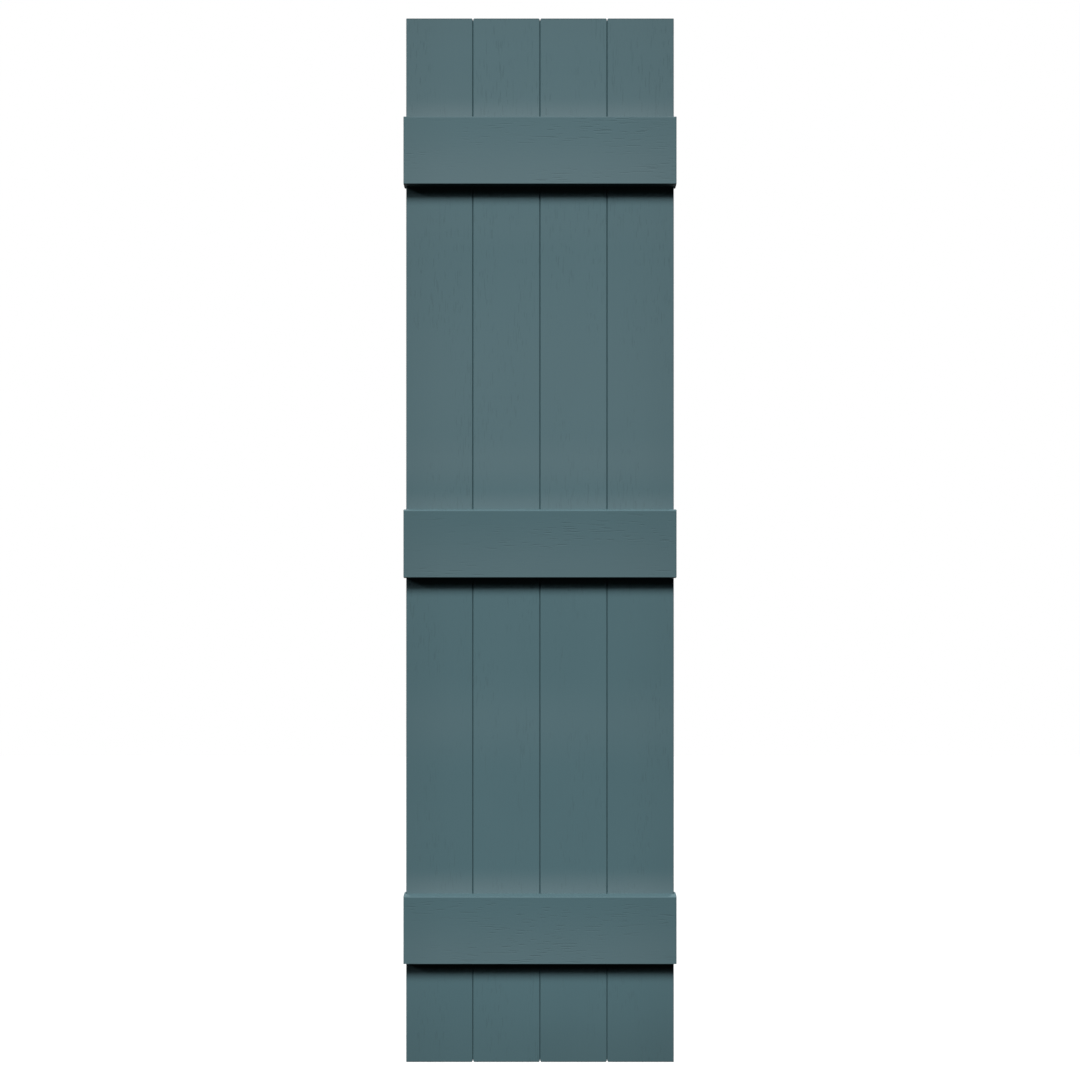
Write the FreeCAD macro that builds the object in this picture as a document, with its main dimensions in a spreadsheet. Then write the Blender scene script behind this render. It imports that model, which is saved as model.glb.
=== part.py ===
import FreeCAD, Part
import enum
import os

import Sketcher

# Board and batten shutter, in millimetres.
# Four hollow moulded boards stand side by side, ship-lapped at their three joints, and three hollow
# moulded battens lie across them. The front faces -Y, +X is to the right as seen from the front, +Z is
# up, and the origin is the middle of the back, in the plane of the wall that carries the shutter.

# Driving dimensions
SIZES = (
    ("shutter_height", 1397.0, "height of the boards, 55 inches"),
    ("board_width", 89.8, "one board, from joint to joint"),
    ("board_depth", 12.7, "board, from its face to the wall"),
    ("face_wall", 2.5, "wall behind a board's face"),
    ("side_wall", 2.2, "walls along a board's sides and across its back"),
    ("centre_rib", 1.8, "rib along the middle of a board's back"),
    ("cross_walls", 13, "walls across each board's back, both ends included"),
    ("board_draft", 2.0, "lean of the panel's outer sides, in degrees"),
    ("board_edge_radius", 1.5, "rounding along a board's face"),
    ("groove_width", 0.7, "groove between two boards, at the face"),
    ("groove_depth", 4.5, "groove, from the face down to the tongue behind it"),
    ("lap_width", 6.0, "reach of a board's tongue behind the next board"),
    ("joint_clearance", 0.3, "room between lapped boards"),
    ("notch_width", 3.2, "notch where a groove runs out at the shutter's ends"),
    ("notch_depth", 1.8, "how far that notch is cut into the ends"),
    ("batten_height", 92.1, "batten, top to bottom where it lies on the boards"),
    ("batten_depth", 12.7, "batten, from its face to the boards"),
    ("batten_inset", 179.4, "middle of an outer batten from the shutter's end"),
    ("middle_batten_drop", 4.7, "middle batten below the shutter's mid-height"),
    ("batten_overhang", 2.2, "batten past the panel's edge"),
    ("batten_clearance", 0.3, "room between a batten's hook and the panel's edge"),
    ("hook_setback", 2.7, "gap between a batten's hook and the wall"),
    ("batten_face_wall", 2.5, "wall behind a batten's face"),
    ("batten_wall", 2.4, "walls along a batten and across its hollow"),
    ("batten_walls", 9, "walls across a batten's hollow, both ends included"),
    ("batten_draft", 6.0, "lean of a batten's long sides, in degrees"),
    ("batten_edge_radius", 1.5, "rounding along the top and ends of a batten's face"),
    ("drip_edge_radius", 0.4, "rounding along the foot of a batten's face, where water drips off"),
    ("slot_rib", 1.8, "each of the two ribs beside a batten's screw slot"),
    ("screw_slot", 3.0, "slot between those ribs that the screws bite into"),
    ("screw_spread", 22.0, "screw to the side of a board's middle"),
    ("screw_rise", 20.0, "screw above or below a batten's middle"),
    ("screw_hole_radius", 2.1, "clearance hole through a board"),
    ("boss_radius", 4.5, "boss around a screw hole"),
    ("boss_height", 4.0, "boss behind a board's face"),
)
BOARDS = ("left_outer_board", "left_inner_board", "right_inner_board", "right_outer_board")
BATTENS = {
    "top_batten": "Size.shutter_height / 2 - Size.batten_inset",
    "middle_batten": "-Size.middle_batten_drop",
    "bottom_batten": "Size.batten_inset - Size.shutter_height / 2",
}

# Depths of a board's section, from the wall at 0 forwards
BACK = "0"
FACE = "-Size.board_depth"
BEHIND_FACE = "Size.face_wall - Size.board_depth"
TONGUE = "Size.groove_depth - Size.board_depth"
BEHIND_TONGUE = TONGUE + " + Size.side_wall"
LIP = TONGUE + " - Size.joint_clearance"

# Places across a board's section, from its left joint at 0
LEAN = "Size.board_depth * tan(Size.board_draft)"
INNER_LEAN = "(Size.board_depth - Size.face_wall) * tan(Size.board_draft)"
LAP_WALL = "Size.lap_width + Size.joint_clearance"
TONGUE_TIP = "Size.board_width + Size.lap_width"
INSIDE_GROOVE = "Size.board_width - Size.groove_width / 2 - Size.side_wall"

# The two kinds of edge a board has on each side: outer corners, then the hollow's corners
PLAIN_LEFT = (
    [("0", BACK), (LEAN, FACE)],
    [("Size.side_wall + " + INNER_LEAN, BEHIND_FACE), ("Size.side_wall", BACK)],
)
LIP_LEFT = (
    [(LAP_WALL, BACK), (LAP_WALL, LIP), ("Size.joint_clearance / 2", LIP), ("Size.groove_width / 2", FACE)],
    [(LAP_WALL + " + Size.side_wall", BEHIND_FACE), (LAP_WALL + " + Size.side_wall", BACK)],
)
PLAIN_RIGHT = (
    [("Size.board_width - " + LEAN, FACE), ("Size.board_width", BACK)],
    [
        ("Size.board_width - Size.side_wall", BACK),
        ("Size.board_width - Size.side_wall - " + INNER_LEAN, BEHIND_FACE),
    ],
)
TONGUE_RIGHT = (
    [
        ("Size.board_width - Size.groove_width / 2", FACE),
        ("Size.board_width - Size.joint_clearance / 2", TONGUE),
        (TONGUE_TIP, TONGUE),
        (TONGUE_TIP, BACK),
    ],
    [
        (TONGUE_TIP + " - Size.side_wall", BACK),
        (TONGUE_TIP + " - Size.side_wall", BEHIND_TONGUE),
        (INSIDE_GROOVE, BEHIND_TONGUE),
        (INSIDE_GROOVE, BEHIND_FACE),
    ],
)
CENTRE_RIB = [
    ("(Size.board_width + Size.centre_rib) / 2", BEHIND_FACE),
    ("(Size.board_width + Size.centre_rib) / 2", BACK),
    ("(Size.board_width - Size.centre_rib) / 2", BACK),
    ("(Size.board_width - Size.centre_rib) / 2", BEHIND_FACE),
]

# Depths of a batten's section, which lies on the boards' face
SEAT = FACE
BATTEN_FACE = "-Size.board_depth - Size.batten_depth"
BEHIND_BATTEN_FACE = BATTEN_FACE + " + Size.batten_face_wall"

# Heights of a batten's section, either side of its middle at 0
RIM = "Size.batten_height / 2"
RIM_AT_FACE = "(Size.batten_height / 2 - Size.batten_depth * tan(Size.batten_draft))"
HOLLOW_RIM = "(Size.batten_height / 2 - Size.batten_wall)"
HOLLOW_LEAN = "(Size.batten_depth - Size.batten_face_wall) * tan(Size.batten_draft)"
HOLLOW_FLOOR = "(Size.batten_height / 2 - Size.batten_wall - %s)" % HOLLOW_LEAN
BATTEN_OUTSIDE = [
    (SEAT, "-" + RIM),
    (BATTEN_FACE, "-" + RIM_AT_FACE),
    (BATTEN_FACE, RIM_AT_FACE),
    (SEAT, RIM),
]
# Lengths along a batten
BATTEN_LENGTH = "(Size.board_width * 4 + Size.batten_overhang * 2)"
BATTEN_START = "-%s / 2" % BATTEN_LENGTH
HOOK_WALL = "(Size.batten_overhang - Size.batten_clearance)"


class Axis(enum.IntEnum):
    """The sketcher's own numbers for its axes; its origin is the first point of the first."""
    ACROSS = -1
    ALONG = -2


class Point(enum.IntEnum):
    """The sketcher's own numbers for the points of a curve."""
    START = 1
    END = 2
    CENTRE = 3


def make_sheet(doc):
    """The sheet of driving dimensions: name, value and meaning, one row each."""
    sheet = doc.addObject("Spreadsheet::Sheet", "Size")
    for row, (name, value, meaning) in enumerate(SIZES, 1):
        sheet.set("A%d" % row, name)
        sheet.set("B%d" % row, str(value))
        sheet.set("C%d" % row, meaning)
        sheet.setAlias("B%d" % row, name)
    doc.recompute()


def origin_part(body, role):
    """One of a body's own origin planes or axes."""
    return next(part for part in body.Origin.OriginFeatures if part.Role == role)


def new_sketch(body, name, plane, offset=None):
    """A sketch on one of the body's origin planes, moved along the plane's normal."""
    sketch = body.newObject("Sketcher::SketchObject", name)
    sketch.AttachmentSupport = [(origin_part(body, plane), "")]
    sketch.MapMode = "FlatFace"
    if offset:
        sketch.setExpression("AttachmentOffset.Base.z", offset)
    return sketch


def pin_point(sketch, curve, point, across, along):
    """Tie one point of a curve to its two distances from the sketch's origin."""
    for kind, axis, distance in (("DistanceX", Axis.ALONG, across), ("DistanceY", Axis.ACROSS, along)):
        if distance == "0":
            sketch.addConstraint(Sketcher.Constraint("PointOnObject", curve, point, axis))
        else:
            tie = Sketcher.Constraint(kind, Axis.ACROSS, Point.START, curve, point, 1.0)
            number = sketch.addConstraint(tie)
            sketch.setExpression("Constraints[%d]" % number, distance)


def draw_outline(sketch, corners):
    """A closed outline of straight lines, every corner tied to the sheet."""
    first = sketch.GeometryCount
    count = len(corners)
    rough = [FreeCAD.Vector(number, number * number, 0) for number in range(count + 1)]
    for number in range(count):
        sketch.addGeometry(Part.LineSegment(rough[number], rough[number + 1]))
    for number in range(count):
        following = first + (number + 1) % count
        join = Sketcher.Constraint("Coincident", first + number, Point.END, following, Point.START)
        sketch.addConstraint(join)
    for number, (across, along) in enumerate(corners):
        pin_point(sketch, first + number, Point.START, across, along)


def draw_box(sketch, left, right, low, high):
    """A closed rectangle between four places."""
    draw_outline(sketch, [(left, low), (right, low), (right, high), (left, high)])


def draw_circle(sketch, across, along, radius):
    """A circle whose centre and radius are tied to the sheet."""
    circle = Part.Circle(FreeCAD.Vector(), FreeCAD.Vector(0, 0, 1), 1.0)
    curve = sketch.addGeometry(circle)
    number = sketch.addConstraint(Sketcher.Constraint("Radius", curve, 1.0))
    sketch.setExpression("Constraints[%d]" % number, radius)
    pin_point(sketch, curve, Point.CENTRE, across, along)


def add_pad(body, name, sketch, length, backwards=False):
    """Material as thick as length on a sketch, along its normal or against it."""
    pad = body.newObject("PartDesign::Pad", name)
    pad.Profile = sketch
    pad.Reversed = backwards
    pad.setExpression("Length", length)
    body.Tip = pad
    return pad


def add_pocket(body, name, sketch, depth):
    """A cut as deep as depth, forwards from a sketch that faces the front."""
    pocket = body.newObject("PartDesign::Pocket", name)
    pocket.Profile = sketch
    pocket.Reversed = True
    pocket.setExpression("Length", depth)
    body.Tip = pocket


def add_row(body, name, original, axis, run, count):
    """Copies of a feature, evenly spaced over a run along one of the body's axes."""
    row = body.newObject("PartDesign::LinearPattern", name)
    row.Originals = [original]
    row.Direction = (origin_part(body, axis), [""])
    row.setExpression("Length", run)
    row.setExpression("Occurrences", count)
    body.Tip = row


def stands(edge):
    """Whether an edge runs up and down, more than across."""
    return edge.BoundBox.ZLength > edge.BoundBox.XLength


def is_foot(edge):
    """Whether an edge lies wholly below the middle of its piece."""
    return edge.BoundBox.ZMax < 0


def round_front(doc, body, name, radius, wanted):
    """Round those edges of the front face that are wanted."""
    doc.recompute()
    base = body.Tip
    front = min(base.Shape.Faces, key=lambda face: face.CenterOfMass.y)
    names = []
    for number, edge in enumerate(base.Shape.Edges, 1):
        if wanted(edge) and any(edge.isSame(border) for border in front.OuterWire.Edges):
            names.append("Edge%d" % number)
    fillet = body.newObject("PartDesign::Fillet", name)
    fillet.Base = (base, names)
    fillet.setExpression("Radius", radius)
    body.Tip = fillet


def screw_places(height):
    """The two screws of one board in one batten, set on a diagonal about the board's middle."""
    middle = "Size.board_width / 2"
    left = (middle + " - Size.screw_spread", height + " + Size.screw_rise")
    right = (middle + " + Size.screw_spread", height + " - Size.screw_rise")
    return left, right


def notch_corners(joint):
    """The notches that a groove leaves in the shutter's two ends, one above the other."""
    left = joint + " - Size.notch_width / 2"
    right = joint + " + Size.notch_width / 2"
    low = [(left, "0"), (right, "0"), (joint, "Size.notch_depth")]
    top = "Size.shutter_height"
    high = [(left, top), (joint, top + " - Size.notch_depth"), (right, top)]
    return low, high


def slot_corners(middle):
    """A pair of thin ribs behind a batten's face, with the slot for its screws between them."""
    corners = []
    for side in (" + ", " - "):
        near = middle + side + "Size.screw_slot / 2"
        far = near + side + "Size.slot_rib"
        rib = [(BEHIND_BATTEN_FACE, near), (SEAT, near), (SEAT, far), (BEHIND_BATTEN_FACE, far)]
        corners += rib[::-1] if side == " + " else rib
    return corners


def make_board(doc, label, place, left_edge, right_edge):
    """A hollow board with its lapped or plain edges, cross walls, end notches and screw bosses."""
    body = doc.addObject("PartDesign::Body", label)
    left_outer, left_inner = left_edge
    right_outer, right_inner = right_edge

    section = new_sketch(body, "section", "XY_Plane")
    draw_outline(section, left_outer + right_outer + right_inner + CENTRE_RIB + left_inner)
    add_pad(body, "shell", section, "Size.shutter_height")

    wall = new_sketch(body, "wall_outline", "XY_Plane")
    draw_outline(wall, left_outer + right_outer)
    end_wall = add_pad(body, "end_wall", wall, "Size.side_wall")
    add_row(body, "walls", end_wall, "Z_Axis", "Size.shutter_height - Size.side_wall", "Size.cross_walls")
    round_front(doc, body, "long_rounding", "Size.board_edge_radius", stands)

    notches = new_sketch(body, "notch_outlines", "XZ_Plane")
    for edge, joint in ((left_edge, "0"), (right_edge, "Size.board_width")):
        if edge in (LIP_LEFT, TONGUE_RIGHT):
            for corners in notch_corners(joint):
                draw_outline(notches, corners)
    add_pocket(body, "notches", notches, "Size.board_depth")

    boss_circles = new_sketch(body, "boss_circles", "XZ_Plane", "Size.board_depth - Size.face_wall")
    hole_circles = new_sketch(body, "hole_circles", "XZ_Plane")
    for height in BATTENS.values():
        for across, along in screw_places("Size.shutter_height / 2 + " + height):
            draw_circle(boss_circles, across, along, "Size.boss_radius")
            draw_circle(hole_circles, across, along, "Size.screw_hole_radius")
    add_pad(body, "bosses", boss_circles, "Size.boss_height", backwards=True)
    add_pocket(body, "screw_holes", hole_circles, "Size.board_depth")

    body.setExpression("Placement.Base.x", "Size.board_width * %d" % (place - len(BOARDS) // 2))
    body.setExpression("Placement.Base.z", "-Size.shutter_height / 2")
    return body


def make_batten(doc, label, height):
    """A hollow batten with hooked ends, cross walls and two slots that its screws bite into."""
    body = doc.addObject("PartDesign::Body", label)

    section = new_sketch(body, "section", "YZ_Plane", BATTEN_START)
    slots = slot_corners("Size.screw_rise") + slot_corners("-Size.screw_rise")
    hollow_top = [(SEAT, HOLLOW_RIM), (BEHIND_BATTEN_FACE, HOLLOW_FLOOR)]
    hollow_foot = [(BEHIND_BATTEN_FACE, "-" + HOLLOW_FLOOR), (SEAT, "-" + HOLLOW_RIM)]
    draw_outline(section, BATTEN_OUTSIDE + hollow_top + slots + hollow_foot)
    add_pad(body, "channel", section, BATTEN_LENGTH)

    wall = new_sketch(body, "wall_outline", "YZ_Plane", BATTEN_START)
    draw_outline(wall, BATTEN_OUTSIDE)
    end_wall = add_pad(body, "end_wall", wall, "Size.batten_wall")
    add_row(body, "walls", end_wall, "X_Axis", BATTEN_LENGTH + " - Size.batten_wall", "Size.batten_walls")
    round_front(doc, body, "face_rounding", "Size.batten_edge_radius", lambda edge: not is_foot(edge))
    round_front(doc, body, "drip_edge", "Size.drip_edge_radius", is_foot)

    hook = new_sketch(body, "hook_outline", "YZ_Plane", BATTEN_START)
    draw_box(hook, SEAT, "-Size.hook_setback", "-" + RIM, RIM)
    first_hook = add_pad(body, "hook", hook, HOOK_WALL)
    add_row(body, "hooks", first_hook, "X_Axis", BATTEN_LENGTH + " - " + HOOK_WALL, "2")

    body.setExpression("Placement.Base.z", height)
    return body


def check(doc, bodies):
    """Stop if any feature failed or any piece isn't one sound solid."""
    for item in doc.Objects:
        if "Invalid" in item.State or "Error" in item.State:
            raise RuntimeError("failed feature: " + item.Label)
    for body in bodies:
        shape = body.Shape
        if shape.isNull() or not shape.isValid() or len(shape.Solids) != 1:
            raise RuntimeError("unsound piece: " + body.Label)


def main():
    """Build the shutter and write each piece to a file of its own."""
    doc = FreeCAD.newDocument("board_and_batten_shutter")
    make_sheet(doc)
    edges = {"left_outer_board": (PLAIN_LEFT, TONGUE_RIGHT), "right_outer_board": (LIP_LEFT, PLAIN_RIGHT)}
    bodies = []
    for place, label in enumerate(BOARDS):
        left_edge, right_edge = edges.get(label, (LIP_LEFT, TONGUE_RIGHT))
        bodies.append(make_board(doc, label, place, left_edge, right_edge))
    for label, height in BATTENS.items():
        bodies.append(make_batten(doc, label, height))
    doc.recompute()
    check(doc, bodies)
    os.makedirs("parts", exist_ok=True)
    for body in bodies:
        body.Shape.exportStep("parts/%s.step" % body.Label)
        box = body.Shape.BoundBox
        print("%-18s volume %8.1f cm3, x %7.2f to %7.2f, y %6.2f to %5.2f, z %7.2f to %7.2f" % (
            body.Label, body.Shape.Volume / 1000, box.XMin, box.XMax, box.YMin, box.YMax, box.ZMin, box.ZMax))


main()
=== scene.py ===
# %% [markdown]
# # A board and batten shutter
#
# This lesson dresses a moulded window shutter: four upright boards, lapped side by side, and three battens
# hooked across them. The shapes come ready made from the CAD frame, in metres, with the front facing -Y and
# the wall at y = 0. What is left to make here is the finish of the vinyl, the small things behind that a
# screwdriver or a mould leaves, and a studio to look at them in.

# %% Load the frame
import math

import bpy
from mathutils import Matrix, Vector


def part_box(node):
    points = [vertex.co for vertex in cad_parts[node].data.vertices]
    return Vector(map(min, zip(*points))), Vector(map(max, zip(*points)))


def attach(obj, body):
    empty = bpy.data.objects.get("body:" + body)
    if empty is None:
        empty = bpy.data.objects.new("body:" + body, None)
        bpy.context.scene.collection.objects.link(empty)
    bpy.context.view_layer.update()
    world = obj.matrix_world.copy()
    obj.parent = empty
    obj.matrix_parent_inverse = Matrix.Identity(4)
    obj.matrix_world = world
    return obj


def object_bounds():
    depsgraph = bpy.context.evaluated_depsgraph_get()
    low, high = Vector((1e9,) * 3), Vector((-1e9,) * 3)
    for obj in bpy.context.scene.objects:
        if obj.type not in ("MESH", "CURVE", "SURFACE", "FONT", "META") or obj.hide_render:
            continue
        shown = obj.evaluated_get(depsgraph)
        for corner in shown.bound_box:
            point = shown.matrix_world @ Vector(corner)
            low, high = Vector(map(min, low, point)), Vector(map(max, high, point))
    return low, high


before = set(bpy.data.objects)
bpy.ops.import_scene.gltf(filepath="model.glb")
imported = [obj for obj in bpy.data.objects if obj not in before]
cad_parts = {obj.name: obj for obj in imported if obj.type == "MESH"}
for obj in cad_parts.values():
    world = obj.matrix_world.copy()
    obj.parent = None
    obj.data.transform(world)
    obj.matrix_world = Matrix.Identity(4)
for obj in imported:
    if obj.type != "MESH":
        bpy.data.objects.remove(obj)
cad_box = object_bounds()
LEFT_EDGE = cad_box[0].x
RIGHT_EDGE = cad_box[1].x
FOOT = cad_box[0].z
HEAD = cad_box[1].z
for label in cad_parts:
    low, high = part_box(label)
    print(label, "is", [round((b - a) * 1000, 1) for a, b in zip(low, high)], "mm")

# %% [markdown]
# ## Sockets as Python values
#
# A finish is mostly arithmetic on noise, and arithmetic is easier to read as Python than as a web of boxes.
# So one small class wraps an output socket. Its operators add Math nodes, also when the plain number stands
# first, as in `1 - mask`. Every other kind of node comes from its one `node` method. Shader trees and
# geometry trees share the Math node, so the same class serves for both.

# %% The wire class
class Wire:
    """An output socket that can stand in a Python expression."""

    def __init__(self, socket):
        self.socket = socket
        self.tree = socket.id_data

    @staticmethod
    def node(tree, kind, settings=None, values=None, output=0):
        """Add a node: settings first, then numbers or wires for its inputs. Gives one of its outputs."""
        made = tree.nodes.new(kind)
        for name, value in (settings or {}).items():
            setattr(made, name, value)
        for name, value in (values or {}).items():
            if isinstance(value, Wire):
                tree.links.new(value.socket, made.inputs[name])
            else:
                made.inputs[name].default_value = value
        return Wire(made.outputs[output])

    @staticmethod
    def maths(operation, first, second=0.0):
        """A Math node on two values, at least one of them a wire."""
        tree = first.tree if isinstance(first, Wire) else second.tree
        return Wire.node(tree, "ShaderNodeMath", {"operation": operation}, {0: first, 1: second})

    def __abs__(self):
        return Wire.maths("ABSOLUTE", self)

    def __add__(self, other):
        return Wire.maths("ADD", self, other)

    def __radd__(self, other):
        return Wire.maths("ADD", other, self)

    def __sub__(self, other):
        return Wire.maths("SUBTRACT", self, other)

    def __rsub__(self, other):
        return Wire.maths("SUBTRACT", other, self)

    def __mul__(self, other):
        return Wire.maths("MULTIPLY", self, other)

    def __rmul__(self, other):
        return Wire.maths("MULTIPLY", other, self)

    def __truediv__(self, other):
        return Wire.maths("DIVIDE", self, other)

    def __rtruediv__(self, other):
        return Wire.maths("DIVIDE", other, self)

    def __pow__(self, other):
        return Wire.maths("POWER", self, other)

    def __rpow__(self, other):
        return Wire.maths("POWER", other, self)

    def split(self):
        """The three coordinates of a vector, each on a wire of its own."""
        first = Wire.node(self.tree, "ShaderNodeSeparateXYZ", None, {"Vector": self})
        return [Wire(socket) for socket in first.socket.node.outputs]

    def feed(self, node, socket):
        """Plug this wire into a node that already exists."""
        self.tree.links.new(self.socket, node.inputs[socket])


# %% Helpers for shader trees
# A Mix node has factors and inputs of several kinds under the same names, so those for colours go by number.
MIX_FACTOR = 0
MIX_BELOW = 6
MIX_ABOVE = 7
MIX_COLOUR = 2
NOISE_MIDDLE = 0.5


def new_material(name):
    """A material, its shader, and a wire with the place on the object."""
    material = bpy.data.materials.new(name)
    material.use_nodes = True
    tree = material.node_tree
    place = Wire.node(tree, "ShaderNodeTexCoord", output="Object")
    return material, tree.nodes["Principled BSDF"], place


def noise(place, size, output=0):
    """Noise that is alike in all directions."""
    return Wire.node(place.tree, "ShaderNodeTexNoise", None, {"Vector": place, **size}, output)


def ramp(wire, low, high):
    """0 below low, 1 above high and smooth between."""
    settings = {"interpolation_type": "SMOOTHSTEP"}
    values = {"Value": wire, "From Min": low, "From Max": high}
    return Wire.node(wire.tree, "ShaderNodeMapRange", settings, values)


def near(wire, where, reach):
    """1 at one place and smoothly down to 0 at that reach on both sides of it."""
    return 1.0 - ramp(abs(wire - where), 0.0, reach)


def blended(amount, below, above):
    """A colour with an amount of another laid over it."""
    values = {MIX_FACTOR: amount, MIX_BELOW: below, MIX_ABOVE: above}
    return Wire.node(amount.tree, "ShaderNodeMix", {"data_type": "RGBA"}, values, MIX_COLOUR)


def emboss(shader, height, strength, distance):
    """Press a relief into a shader's surface."""
    values = {"Height": height, "Strength": strength, "Distance": distance}
    Wire.node(height.tree, "ShaderNodeBump", None, values, "Normal").feed(shader, "Normal")


# %% [markdown]
# ## The vinyl
#
# The shutter is coloured right through, a greyed slate blue, with a dull satin skin. The mould presses a
# faint wood grain into the faces that show: a hint of fibre, and short open pores that come in loose groups,
# all running with the length of the piece. The sides, the ends and the hollow backs come off bare steel, so
# they have only the slight peel and flow lines of moulded plastic, and they are duller. A picture of wood
# would repeat and would be far too strong, so noise that is squeezed along the grain makes the pattern, and
# the direction a surface faces decides which of the two it is.

# %% The grain
FIBRE = {"across": 900.0, "along": 16.0, "detail": 2.0}
PORES = {"across": 720.0, "along": 55.0, "detail": 0.0}
GROUPS = {"across": 26.0, "along": 6.0, "detail": 1.0}
FLOW = {"across": 150.0, "along": 12.0, "detail": 2.0}
WANDER = {"Scale": 9.0, "Detail": 1.0}
WANDER_REACH = 0.002
print("pores are about", round(1000 / PORES["across"], 1), "by", round(1000 / PORES["along"]), "mm")


def squeezed_noise(place, axis, across, along, detail):
    """Noise whose features are 1/across wide and 1/along long, with the grain on one axis."""
    scale = [across, across, across]
    scale[axis] = along
    values = {"Vector": place, "Scale": scale}
    mapped = Wire.node(place.tree, "ShaderNodeMapping", {"vector_type": "POINT"}, values)
    return noise(mapped, {"Scale": 1.0, "Detail": detail})


def vector_maths(operation, first, values):
    """A Vector Math node on a vector and its other inputs."""
    return Wire.node(first.tree, "ShaderNodeVectorMath", {"operation": operation}, {0: first, **values})


def wandering(place):
    """The place on the object, nudged to and fro so that no line of grain is dead straight."""
    drift = noise(place, WANDER, "Color")
    centred = vector_maths("SUBTRACT", drift, {1: (NOISE_MIDDLE, NOISE_MIDDLE, NOISE_MIDDLE)})
    nudge = vector_maths("SCALE", centred, {"Scale": WANDER_REACH})
    return vector_maths("ADD", place, {1: nudge})


# %% Which way a surface faces
FRONT_FACING = (0.80, 0.98)
LEDGE_FACING = (0.10, 0.60)
UNDERSIDE_FACING = (0.50, 0.90)


def facings(tree):
    """How far a surface is a front, a ledge that faces up, and an underside."""
    _, backwards, upwards = Wire.node(tree, "ShaderNodeNewGeometry", output="Normal").split()
    front = ramp(backwards * -1.0, *FRONT_FACING)
    ledge = ramp(upwards, *LEDGE_FACING)
    underside = ramp(upwards * -1.0, *UNDERSIDE_FACING)
    return front, ledge, underside


# %% [markdown]
# ## Painted light and marks
#
# Several marks on the front are painted light and shade. A pale glow above each batten, thinner at the outer
# edges, is painted light thrown up from the lit ledge, and the battens' own faces are painted lighter towards
# their feet. Broad faint bands on the boards are painted lighter as well. A painted shadow lies on the boards
# under each batten, and painted shade darkens the undersides and the outer edges. The ledges are darker,
# partly dust and partly painted shade. The head, the foot and the very ends are darker too. One painted
# picture could hold all this, but it would fit one size of shutter only. Here every mark is a place, a reach
# and an amount, and most places are read from the frame, so they follow the battens wherever the CAD model
# has them.

# %% Painted light and marks
# Colours: painted light for the glows; dirt in the pores and painted shade and shadow elsewhere; partly dust,
# partly painted shade on the ledges.
PAINTED_LIGHT = (0.40, 0.42, 0.43, 1.0)
GRIME_AND_SHADE = (0.020, 0.030, 0.031, 1.0)
DUST_AND_SHADE = (0.045, 0.079, 0.089, 1.0)
PORE_SOIL = 0.10
# Painted shade on the undersides, and how much and how far the painted glow fades at the outer edges.
UNDERSIDE_SHADE = 0.7
GLOW_FALLOFF = 0.25
GLOW_FALLOFF_REACH = 0.05


def painted_light_and_marks(colour, place, front, edges, glows, darkenings):
    """A colour with painted shade across the front, then painted light and darkening by heights."""
    across, _, height = place.split()
    # Painted shade along the outer edges.
    for where, reach, amount in edges:
        colour = blended(near(across, where, reach) * front * amount, colour, GRIME_AND_SHADE)
    # The painted glow fades towards the outer edges.
    edge_falloff = near(across, LEFT_EDGE, GLOW_FALLOFF_REACH) + near(across, RIGHT_EDGE, GLOW_FALLOFF_REACH)
    glowing_front = front * (1.0 - edge_falloff * GLOW_FALLOFF)
    # Painted light: the glow above each batten, on the battens' faces and in broad bands.
    for where, reach, amount in glows:
        colour = blended(near(height, where, reach) * glowing_front * amount, colour, PAINTED_LIGHT)
    # Painted shadow under each batten; darker towards the head, the foot and the very ends.
    for where, reach, amount in darkenings:
        colour = blended(near(height, where, reach) * front * amount, colour, GRIME_AND_SHADE)
    return colour


# %% The vinyl's material
VINYL_DEEP = (0.060, 0.118, 0.134)
VINYL_PALE = (0.071, 0.134, 0.151)
PORE_OPENING = (0.665, 0.735)
GROUP_SPREAD = (0.40, 0.60)
PEEL = {"Scale": 420.0, "Detail": 1.0}
MOTTLE = {"Scale": 7.0, "Detail": 3.0}
RELIEF_HEIGHT = 0.00012
FIBRE_RELIEF = 0.26
PORE_RELIEF = 0.80
PEEL_RELIEF = 0.30
FLOW_RELIEF = 0.50
TONE_START = 0.15
MOTTLE_TONE = 0.50
FIBRE_TONE = 0.25
VINYL_ROUGHNESS = 0.64
MOTTLE_ROUGHNESS = 0.10
PORE_ROUGHNESS = 0.06
SIDE_ROUGHNESS = 0.20
FLOW_SHEEN = 0.16
VINYL_SPECULAR = 0.24


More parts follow.
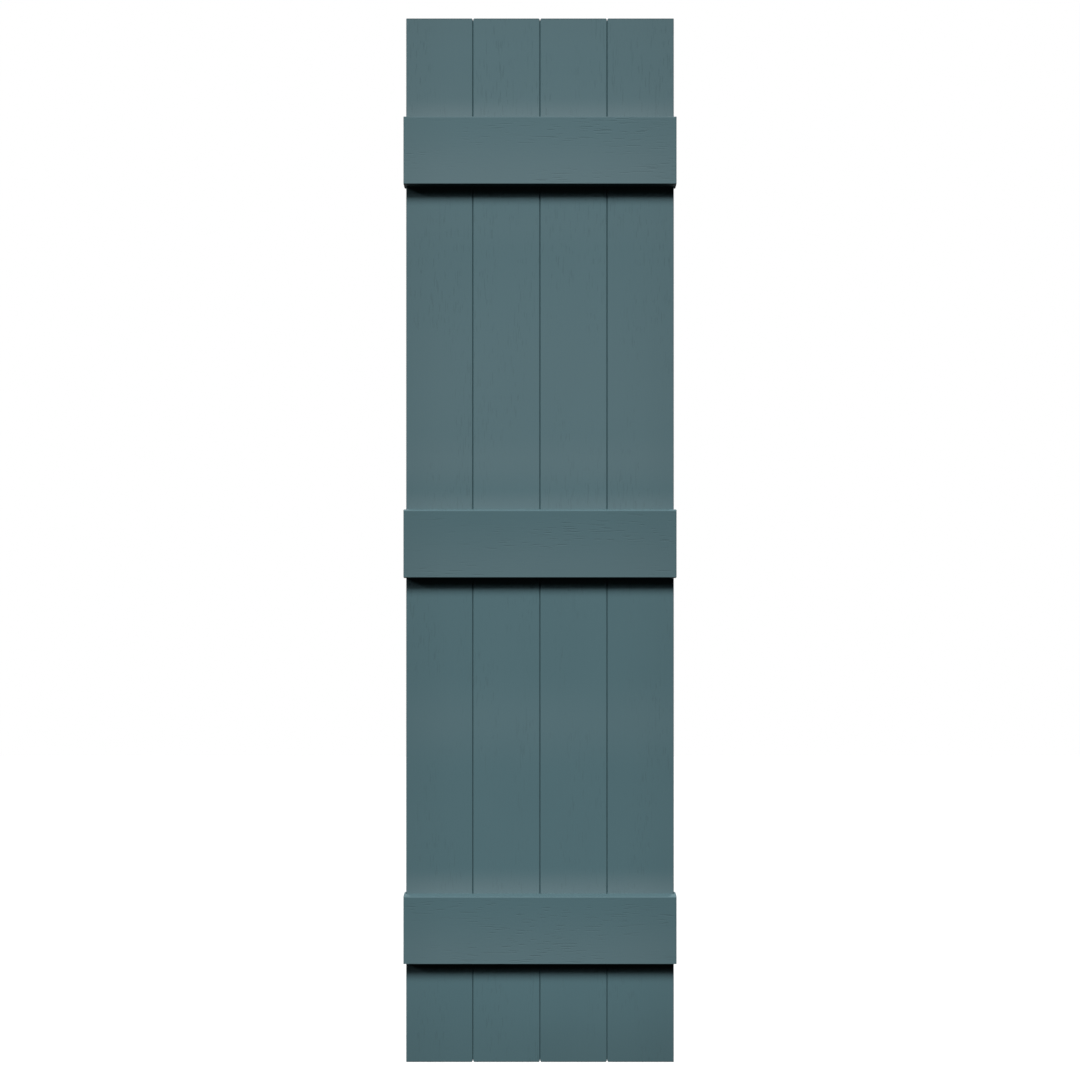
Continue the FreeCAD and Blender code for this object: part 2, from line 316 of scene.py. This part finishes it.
def moulded_vinyl(name, grain_axis, shade, dust_and_shade, edges, glows, darkenings):
    """Through-coloured vinyl of one shade, with grain along one axis of its front, dust and painted shade on
    what faces up, painted shade on what faces down, and painted light and marks on the front."""
    material, shader, place = new_material(name)
    front, ledge, underside = facings(place.tree)
    side = 1.0 - front
    grain = wandering(place)
    fibre = squeezed_noise(grain, grain_axis, **FIBRE) * front
    pores = ramp(squeezed_noise(grain, grain_axis, **PORES), *PORE_OPENING)
    groups = ramp(squeezed_noise(grain, grain_axis, **GROUPS), *GROUP_SPREAD)
    ticks = pores * groups * front
    flow = squeezed_noise(grain, grain_axis, **FLOW)
    peel = noise(place, PEEL)
    mottle = noise(place, MOTTLE)

    skin = (peel * PEEL_RELIEF + flow * FLOW_RELIEF) * side
    emboss(shader, fibre * FIBRE_RELIEF - ticks * PORE_RELIEF + skin, 1.0, RELIEF_HEIGHT)

    tone = TONE_START + mottle * MOTTLE_TONE + fibre * FIBRE_TONE
    deep = [shade * part for part in VINYL_DEEP] + [1.0]
    pale = [shade * part for part in VINYL_PALE] + [1.0]
    colour = blended(tone, deep, pale)
    colour = blended(ticks * PORE_SOIL, colour, GRIME_AND_SHADE)
    # Upward faces darker: partly dust, partly painted shade.
    colour = blended(ledge * dust_and_shade, colour, DUST_AND_SHADE)
    # Painted shade on the undersides.
    colour = blended(underside * UNDERSIDE_SHADE, colour, GRIME_AND_SHADE)
    painted_light_and_marks(colour, place, front, edges, glows, darkenings).feed(shader, "Base Color")

    roughness = VINYL_ROUGHNESS + (mottle - NOISE_MIDDLE) * MOTTLE_ROUGHNESS + ticks * PORE_ROUGHNESS
    (roughness + side * (SIDE_ROUGHNESS - flow * FLOW_SHEEN)).feed(shader, "Roughness")
    shader.inputs["Specular IOR Level"].default_value = VINYL_SPECULAR
    return material


def dress(label, material):
    """Give a CAD node one material in place of its own."""
    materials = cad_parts[label].data.materials
    materials.clear()
    materials.append(material)


# %% Vinyl on the boards
Z_AXIS = 2
# The outer boards' lower shades are painted shade, the light falling off towards the sides.
BOARD_FINISHES = {
    "left_outer_board": {"shade": 0.975, "foot_darkening": 0.125},
    "left_inner_board": {"shade": 1.0, "foot_darkening": 0.13},
    "right_inner_board": {"shade": 0.995, "foot_darkening": 0.20},
    "right_outer_board": {"shade": 0.965, "foot_darkening": 0.205},
}
# Upward faces partly dust, partly painted shade.
BOARD_DUST_AND_SHADE = 0.5
# Painted shade along the outer edges.
BOARD_EDGE_SHADES = [(LEFT_EDGE, 0.075, 0.065), (RIGHT_EDGE, 0.075, 0.065)]
# Reach and amount, of the painted glow above each batten and of the painted shadow below it.
LEDGE_GLOWS = {
    "top_batten": (0.030, 0.072),
    "middle_batten": (0.030, 0.067),
    "bottom_batten": (0.038, 0.098),
}
BATTEN_SHADOWS = {
    "top_batten": (0.016, 0.45),
    "middle_batten": (0.014, 0.45),
    "bottom_batten": (0.030, 0.70),
}
# Broad lighter bands on the boards, painted light.
# Heights from the middle of the shutter, reaches and amounts, all judged.
GLOW_BANDS = [
    (0.560, 0.085, 0.022),
    (0.425, 0.045, 0.012),
    (0.187, 0.280, 0.030),
    (0.104, 0.045, 0.022),
    (-0.243, 0.070, 0.022),
]
# Darker towards the head, towards the foot and along the very ends.
HEAD_DARKENING = (HEAD, 0.045, 0.04)
FOOT_REACH = 0.105
END_DARKENING = [(FOOT, 0.0025, 0.40), (HEAD, 0.0025, 0.30)]
ledge_glows = [(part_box(label)[1].z, reach, amount) for label, (reach, amount) in LEDGE_GLOWS.items()]
batten_shadows = [(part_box(label)[0].z, reach, amount) for label, (reach, amount) in BATTEN_SHADOWS.items()]
glows = ledge_glows + GLOW_BANDS
for label, finish in BOARD_FINISHES.items():
    darkenings = [HEAD_DARKENING, (FOOT, FOOT_REACH, finish["foot_darkening"])] + END_DARKENING + batten_shadows
    look = {"shade": finish["shade"], "dust_and_shade": BOARD_DUST_AND_SHADE, "edges": BOARD_EDGE_SHADES}
    dress(label, moulded_vinyl(label + "_vinyl", Z_AXIS, glows=glows, darkenings=darkenings, **look))
print("boards dressed, with bloom above", [round(where, 3) for where, reach, amount in ledge_glows])

# %% Vinyl on the battens
X_AXIS = 0
# The face value is painted light, lighter towards each batten's foot; the dust is partly painted shade.
BATTEN_FINISHES = {
    "top_batten": {"shade": 0.99, "dust_and_shade": 0.90, "face_glow": 0.054},
    "middle_batten": {"shade": 0.93, "dust_and_shade": 0.30, "face_glow": 0.040},
    "bottom_batten": {"shade": 0.955, "dust_and_shade": 0.45, "face_glow": 0.048},
}
# Painted shade along the outer edges.
BATTEN_EDGE_SHADES = [(LEFT_EDGE, 0.075, 0.065), (RIGHT_EDGE, 0.12, 0.085)]
for label, finish in BATTEN_FINISHES.items():
    low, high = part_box(label)
    face_glows = [(low.z, high.z - low.z, finish["face_glow"])]
    look = {"shade": finish["shade"], "dust_and_shade": finish["dust_and_shade"], "edges": BATTEN_EDGE_SHADES}
    dress(label, moulded_vinyl(label + "_vinyl", X_AXIS, glows=face_glows, darkenings=[], **look))
print("battens dressed:", list(BATTEN_FINISHES))

# %% [markdown]
# ## A way to grow small things
#
# Behind the shutter the same few small things come again and again, always on places that are known. Copies
# could be placed one by one, but Geometry Nodes suit this better: a mesh of bare points says where, a tree of
# nodes says what, and named inputs hold the sizes. The result is turned into a plain mesh straight away,
# because an export keeps no modifier of this kind.

# %% Helpers for geometry trees
def new_tree(name, sizes):
    """An empty geometry tree with a named input for each size. Gives the tree and a wire for each input."""
    tree = bpy.data.node_groups.new(name, "GeometryNodeTree")
    tree.interface.new_socket("Points", in_out="INPUT", socket_type="NodeSocketGeometry")
    tree.interface.new_socket("Geometry", in_out="OUTPUT", socket_type="NodeSocketGeometry")
    for label in sizes:
        tree.interface.new_socket(label, in_out="INPUT", socket_type="NodeSocketFloat")
    entry = tree.nodes.new("NodeGroupInput")
    return tree, {socket.name: Wire(socket) for socket in entry.outputs if socket.name}


def close_tree(tree, points, piece, rotation, material):
    """End a tree with a piece on each point, turned, as real geometry in its own material."""
    values = {"Points": points, "Instance": piece, "Rotation": rotation}
    instances = Wire.node(tree, "GeometryNodeInstanceOnPoints", None, values)
    real = Wire.node(tree, "GeometryNodeRealizeInstances", None, {"Geometry": instances})
    painted = Wire.node(tree, "GeometryNodeSetMaterial", None, {"Geometry": real, "Material": material})
    painted.feed(tree.nodes.new("NodeGroupOutput"), "Geometry")


def reshaped(mesh, x, y, z):
    """A mesh with its points moved to new coordinates."""
    place = Wire.node(mesh.tree, "ShaderNodeCombineXYZ", None, {"X": x, "Y": y, "Z": z})
    return Wire.node(mesh.tree, "GeometryNodeSetPosition", None, {"Geometry": mesh, "Position": place})


def joined(tree, *parts):
    """Several geometries as one."""
    join = tree.nodes.new("GeometryNodeJoinGeometry")
    for part in parts:
        part.feed(join, "Geometry")
    return Wire(join.outputs[0])


# %% From a tree to a plain mesh
CREASE = math.radians(32.0)


def grow(name, places, tree, sizes):
    """Run a tree on points and keep the plain mesh, smooth up to the crease angle."""
    points = bpy.data.meshes.new(name + "_points")
    points.from_pydata(places, [], [])
    piece = bpy.data.objects.new(name, points)
    bpy.context.collection.objects.link(piece)
    modifier = piece.modifiers.new(name, "NODES")
    modifier.node_group = tree
    for item in tree.interface.items_tree:
        if item.in_out == "INPUT" and item.name in sizes:
            modifier[item.identifier] = sizes[item.name]
    evaluated = piece.evaluated_get(bpy.context.evaluated_depsgraph_get())
    made = bpy.data.meshes.new_from_object(evaluated)
    piece.modifiers.clear()
    piece.data = made
    made.name = name
    made.shade_smooth()
    made.set_sharp_from_angle(angle=CREASE)
    made.calc_loop_triangles()
    print(name, "has", len(places), "copies and", len(made.loop_triangles), "triangles")
    return piece


# %% [markdown]
# ## The batten screws
#
# Two screws through every board hold each batten, driven from behind into the slots of the batten's ribs.
# They are zinc plated pan heads with a cross recess. A head starts as a cylinder with many rings, and a
# formula draws the upper rings in to make the shoulder. Two tapered bars, cut out of it, make the recess. The
# thread is a spiral with a three-cornered section. No fitter stops all the screws at the same angle, so a
# random turn with a fixed seed sets each one.

# %% The zinc
ZINC_BLUE = (0.58, 0.60, 0.65, 1.0)
ZINC_STRAW = (0.66, 0.64, 0.58, 1.0)
ZINC_DRIFT = {"Scale": 90.0, "Detail": 2.0}
ZINC_CHANGE = (0.35, 0.65)
ZINC_SPECKLE = {"Scale": 2600.0, "Detail": 2.0}
ZINC_ROUGHNESS = 0.28
SPECKLE_ROUGHNESS = 0.22
SPECKLE_BUMP = 0.4
SPECKLE_HEIGHT = 0.00003


def zinc_plate():
    """Bright zinc with a thin passivation that drifts between blue and straw."""
    material, shader, place = new_material("zinc_plate")
    drift = ramp(noise(place, ZINC_DRIFT), *ZINC_CHANGE)
    speckle = noise(place, ZINC_SPECKLE)
    blended(drift, ZINC_BLUE, ZINC_STRAW).feed(shader, "Base Color")
    (ZINC_ROUGHNESS + speckle * SPECKLE_ROUGHNESS).feed(shader, "Roughness")
    emboss(shader, speckle, SPECKLE_BUMP, SPECKLE_HEIGHT)
    shader.inputs["Metallic"].default_value = 1.0
    return material


# %% The screw's head
SCREW_SIZES = {
    "Head Radius": 0.0040,
    "Head Height": 0.0027,
    "Recess Span": 0.0046,
    "Recess Width": 0.0011,
    "Recess Depth": 0.0018,
    "Core Radius": 0.0014,
    "Thread Depth": 0.0005,
    "Thread Pitch": 0.0014,
    "Length": 0.0145,
    "Point": 0.0040,
}
HEAD_MESH = {"Vertices": 32, "Side Segments": 9}
SHOULDER_SHARE = 0.95
SHOULDER_POWER = 4.0
RECESS_TAPER = 0.5


def tapered_bar(tree, size, long_axis):
    """One bar of the cross recess. Its middle is at the head's top, and its foot is half as long and wide."""
    span = {"X": size["Recess Width"], "Y": size["Recess Width"], "Z": size["Recess Depth"] * 2.0}
    span[long_axis] = size["Recess Span"]
    extent = Wire.node(tree, "ShaderNodeCombineXYZ", None, span)
    box = Wire.node(tree, "GeometryNodeMeshCube", None, {"Size": extent})
    x, y, z = Wire.node(tree, "GeometryNodeInputPosition").split()
    spread = 1.0 + z / size["Recess Depth"] * RECESS_TAPER
    return reshaped(box, x * spread, y * spread, z + size["Head Height"])


def pan_head(tree, size):
    """The head, from its seat up, with a drawn-in shoulder and the cross recess."""
    x, y, z = Wire.node(tree, "GeometryNodeInputPosition").split()
    rings = {**HEAD_MESH, "Radius": size["Head Radius"], "Depth": size["Head Height"]}
    drum = Wire.node(tree, "GeometryNodeMeshCylinder", None, rings)
    rise = z + size["Head Height"] * 0.5
    shoulder = (1.0 - (rise / size["Head Height"] * SHOULDER_SHARE) ** SHOULDER_POWER) ** 0.5
    head = reshaped(drum, x * shoulder, y * shoulder, rise)
    for axis in ("X", "Y"):
        settings = {"operation": "DIFFERENCE", "solver": "EXACT"}
        cut = {"Mesh 1": head, "Mesh 2": tapered_bar(tree, size, axis)}
        head = Wire.node(tree, "GeometryNodeMeshBoolean", settings, cut)
    return head


# %% The screw's shank and thread
SHANK_MESH = {"Vertices": 16, "Side Segments": 12}
POINT_FLAT = 0.08
THREAD_STEPS = 20
THREAD_CORNERS = 3


def shank(tree, size):
    """The core of the screw, from its seat down to the point."""
    x, y, z = Wire.node(tree, "GeometryNodeInputPosition").split()
    rings = {**SHANK_MESH, "Radius": size["Core Radius"], "Depth": size["Length"]}
    rod = Wire.node(tree, "GeometryNodeMeshCylinder", None, rings)
    climb = z + size["Length"] * 0.5
    taper = Wire.maths("MINIMUM", climb / size["Point"] + POINT_FLAT, 1.0)
    return reshaped(rod, x * taper, y * taper, climb - size["Length"])


def thread(tree, size):
    """A sharp ridge that winds round the core down to where the point begins."""
    x, y, z = Wire.node(tree, "GeometryNodeInputPosition").split()
    threaded = size["Length"] - size["Point"]
    turns = {"Resolution": THREAD_STEPS, "Rotations": threaded / size["Thread Pitch"], "Height": threaded}
    turns.update({"Start Radius": size["Core Radius"], "End Radius": size["Core Radius"]})
    spiral = Wire.node(tree, "GeometryNodeCurveSpiral", None, turns)
    upright = Wire.node(tree, "GeometryNodeSetCurveNormal", {"mode": "Z_UP"}, {"Curve": spiral})
    section = {"Resolution": THREAD_CORNERS, "Radius": size["Thread Depth"]}
    corner = Wire.node(tree, "GeometryNodeCurvePrimitiveCircle", None, section)
    swept = {"Curve": upright, "Profile Curve": corner, "Fill Caps": True}
    ridge = Wire.node(tree, "GeometryNodeCurveToMesh", None, swept)
    return reshaped(ridge, x, y, z - threaded)


# %% The whole screw as a tree
SCREW_SEED = 7


def screw_tree(material):
    """Screws that point forwards from their seats, each with a turn of its own."""
    tree, size = new_tree("batten_screw", SCREW_SIZES)
    screw = joined(tree, pan_head(tree, size), shank(tree, size), thread(tree, size))
    seed = {"Seed": SCREW_SEED}
    spin = Wire.node(tree, "FunctionNodeRandomValue", {"data_type": "FLOAT"}, seed, output=1)
    angles = {"X": -math.pi / 2, "Y": spin * (2.0 * math.pi), "Z": 0.0}
    euler = Wire.node(tree, "ShaderNodeCombineXYZ", None, angles)
    turned = Wire.node(tree, "FunctionNodeEulerToRotation", None, {"Euler": euler})
    close_tree(tree, size["Points"], screw, turned, material)
    return tree


# %% Drive the screws
SCREW_SEAT = -0.0062
SCREW_SPREAD = 0.022
SCREW_RISE = 0.020
panel_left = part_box("left_outer_board")[0].x
panel_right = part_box("right_outer_board")[1].x
board_width = (panel_right - panel_left) / len(BOARD_FINISHES)
board_middles = [panel_left + (count + 0.5) * board_width for count in range(len(BOARD_FINISHES))]
batten_middles = [(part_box(label)[0].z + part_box(label)[1].z) / 2 for label in BATTEN_FINISHES]
seats = []
for batten_middle in batten_middles:
    for board_middle in board_middles:
        seats.append((board_middle - SCREW_SPREAD, SCREW_SEAT, batten_middle + SCREW_RISE))
        seats.append((board_middle + SCREW_SPREAD, SCREW_SEAT, batten_middle - SCREW_RISE))
screws = grow("batten_screws", seats, screw_tree(zinc_plate()), SCREW_SIZES)
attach(screws, "root")

# %% [markdown]
# ## What the mould leaves
#
# A long moulding is pushed out of its mould by rows of pins, and every pin leaves a round witness mark on the
# hidden side, a shade smoother than the skin around it. They stand in the middle of each bay between the
# cross walls, on both sides of the centre rib. A ring in the vinyl's bump could hint at them, but it would be
# lost in the plain mesh, so each is a thin round land of its own.

# %% Vinyl of the pin marks
PIN_MOTTLE = {"Scale": 300.0, "Detail": 2.0}
PIN_ROUGHNESS = 0.34
PIN_MOTTLE_ROUGHNESS = 0.14
PIN_SPECULAR = 0.4


def pin_mark_vinyl():
    """The same vinyl where a polished pin has touched it."""
    material, shader, place = new_material("pin_mark_vinyl")
    mottle = noise(place, PIN_MOTTLE)
    blended(mottle, VINYL_DEEP + (1.0,), VINYL_PALE + (1.0,)).feed(shader, "Base Color")
    (PIN_ROUGHNESS + mottle * PIN_MOTTLE_ROUGHNESS).feed(shader, "Roughness")
    shader.inputs["Specular IOR Level"].default_value = PIN_SPECULAR
    return material


# %% Pin marks
MARK_SIZES = {"Mark Radius": 0.0042, "Mark Height": 0.00025}
MARK_SIDES = 28
MARK_SPREAD = 0.022
HOLLOW_FLOOR = -0.0102
CROSS_WALLS = 13


def mark_tree(material):
    """Shallow round lands, flat on the hollow floor and facing the wall."""
    tree, size = new_tree("pin_mark", MARK_SIZES)
    land = {"Vertices": MARK_SIDES, "Radius": size["Mark Radius"], "Depth": size["Mark Height"]}
    disc = Wire.node(tree, "GeometryNodeMeshCylinder", None, land)
    quarter = Wire.node(tree, "FunctionNodeEulerToRotation", None, {"Euler": (-math.pi / 2, 0.0, 0.0)})
    close_tree(tree, size["Points"], disc, quarter, material)
    return tree


bays = CROSS_WALLS - 1
bay = (HEAD - FOOT) / bays
marks = []
for board_middle in board_middles:
    for side in (-MARK_SPREAD, MARK_SPREAD):
        for count in range(bays):
            marks.append((board_middle + side, HOLLOW_FLOOR, FOOT + (count + 0.5) * bay))
pin_marks = grow("pin_marks", marks, mark_tree(pin_mark_vinyl()), MARK_SIZES)
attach(pin_marks, "root")

# %% [markdown]
# ## The studio
#
# The photograph has a shutter on plain white, lit by one big soft light high in front: every batten throws a
# short shadow, black at its root and soft at its rim, and all three shadows are alike, so the light is far
# away. An area lamp would have to be huge to do that, but a sun lamp with a wide disc does it at any size. A
# weaker one below it stretches the light downwards, which softens the shadow's inner rim. A small weak lamp
# low on the left lifts the left ends of the shadows, and two lamps behind light what the front view never
# sees. The white is what only the camera, and mirrored rays that end behind the object, see of the world and
# the floor, so it adds no light to the front.

# %% Lamps
SOFT_DISC = math.radians(18.0)
SMALL_DISC = math.radians(6.0)
# Azimuth from straight in front towards +X and rise above the horizon, in degrees, then strength and disc.
LAMPS = {
    "key": (-2.0, 57.0, 5.20, SOFT_DISC),
    "low_key": (-2.0, 44.0, 0.40, SOFT_DISC),
    "left_fill": (-68.0, 25.0, 0.70, SMALL_DISC),
    "left_back": (-150.0, 30.0, 2.0, SOFT_DISC),
    "right_back": (148.0, 38.0, 2.4, SOFT_DISC),
}
for name, (azimuth, rise, strength, disc) in LAMPS.items():
    lamp = bpy.data.lights.new(name, "SUN")
    lamp.energy = strength
    lamp.angle = disc
    holder = bpy.data.objects.new(name, lamp)
    holder.rotation_euler = (math.pi / 2 - math.radians(rise), 0.0, math.radians(azimuth))
    bpy.context.collection.objects.link(holder)
print("lamps:", list(LAMPS))

# %% World
FRONT_AMBIENT = 0.007
BACK_AMBIENT = 0.30
WORLD_BEHIND = (0.5, 0.9)
WHITE = (1.0, 1.0, 1.0, 1.0)


def shows_white(tree, behind):
    """1 to the camera, and to mirrored and transmitted rays where they end behind the object."""
    path = tree.nodes.new("ShaderNodeLightPath")
    seen = Wire(path.outputs["Is Camera Ray"])
    mirrored = Wire(path.outputs["Is Glossy Ray"]) + Wire(path.outputs["Is Transmission Ray"])
    return Wire.maths("MAXIMUM", seen, mirrored * behind)


world = bpy.data.worlds.new("studio")
world.use_nodes = True
bpy.context.scene.world = world
sky = world.node_tree
sky.nodes.clear()
_, sky_depth, _ = Wire.node(sky, "ShaderNodeTexCoord", output="Generated").split()
behind = ramp(sky_depth, *WORLD_BEHIND)
level = FRONT_AMBIENT + behind * (BACK_AMBIENT - FRONT_AMBIENT)
dim = Wire.node(sky, "ShaderNodeBackground", None, {"Color": WHITE, "Strength": level})
white = Wire.node(sky, "ShaderNodeBackground", None, {"Color": WHITE, "Strength": 1.0})
either = Wire.node(sky, "ShaderNodeMixShader", None, {0: shows_white(sky, behind), 1: dim, 2: white})
either.feed(sky.nodes.new("ShaderNodeOutputWorld"), "Surface")
print("world is white to the camera, and lights with", FRONT_AMBIENT, "in front and", BACK_AMBIENT, "behind")

# %% Floor
FLOOR_DROP = 0.9
FLOOR_HALF = 9.0
FLOOR_SEEN = (0.46, 0.46, 0.46, 1.0)
FLOOR_FELT = (0.012, 0.012, 0.012, 1.0)
FLOOR_BEHIND = (0.0, 0.3)
FLOOR_ROUGHNESS = 0.9
floor_height = FOOT - FLOOR_DROP
corner_signs = ((-1, -1), (1, -1), (1, 1), (-1, 1))
floor_corners = [(x * FLOOR_HALF, y * FLOOR_HALF, floor_height) for x, y in corner_signs]
floor_mesh = bpy.data.meshes.new("floor")
floor_mesh.from_pydata(floor_corners, [], [(0, 1, 2, 3)])
floor = bpy.data.objects.new("floor", floor_mesh)
bpy.context.collection.objects.link(floor)
paper, paper_shader, floor_place = new_material("pale_floor")
_, floor_depth, _ = floor_place.split()
shown = shows_white(floor_place.tree, ramp(floor_depth, *FLOOR_BEHIND))
blended(shown, FLOOR_FELT, FLOOR_SEEN).feed(paper_shader, "Base Color")
paper_shader.inputs["Roughness"].default_value = FLOOR_ROUGHNESS
paper_shader.inputs["Specular IOR Level"].default_value = 0.0
floor_mesh.materials.append(paper)
print("floor at z =", round(floor_height, 3))

# %% [markdown]
# ## The camera
#
# The photograph looks straight at the shutter from about the height of its middle. The distance is judged
# from the thin lines of ledge that show on the battens. A lens could be judged by eye as well, but it follows
# from how much of the picture's height the shutter fills, so here it is worked out, and the two stay in step
# when the distance is changed.

# %% Camera
PHOTO_PIXELS = 1080.0
SHUTTER_PIXELS = 1043.5
CAMERA_DISTANCE = 2.0
CAMERA_RISE = 0.0003
SENSOR = 36.0
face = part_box("left_outer_board")[0].y
camera_data = bpy.data.cameras.new("camera")
camera_data.sensor_width = SENSOR
camera_data.lens = SENSOR * SHUTTER_PIXELS / PHOTO_PIXELS * CAMERA_DISTANCE / (HEAD - FOOT)
camera = bpy.data.objects.new("camera", camera_data)
camera.location = (0.0, face - CAMERA_DISTANCE, CAMERA_RISE)
camera.rotation_euler = (math.pi / 2, 0.0, 0.0)
bpy.context.collection.objects.link(camera)
bpy.context.scene.camera = camera
bpy.context.scene.view_settings.view_transform = "Standard"
print("lens", round(camera_data.lens, 2), "mm at", CAMERA_DISTANCE, "m")
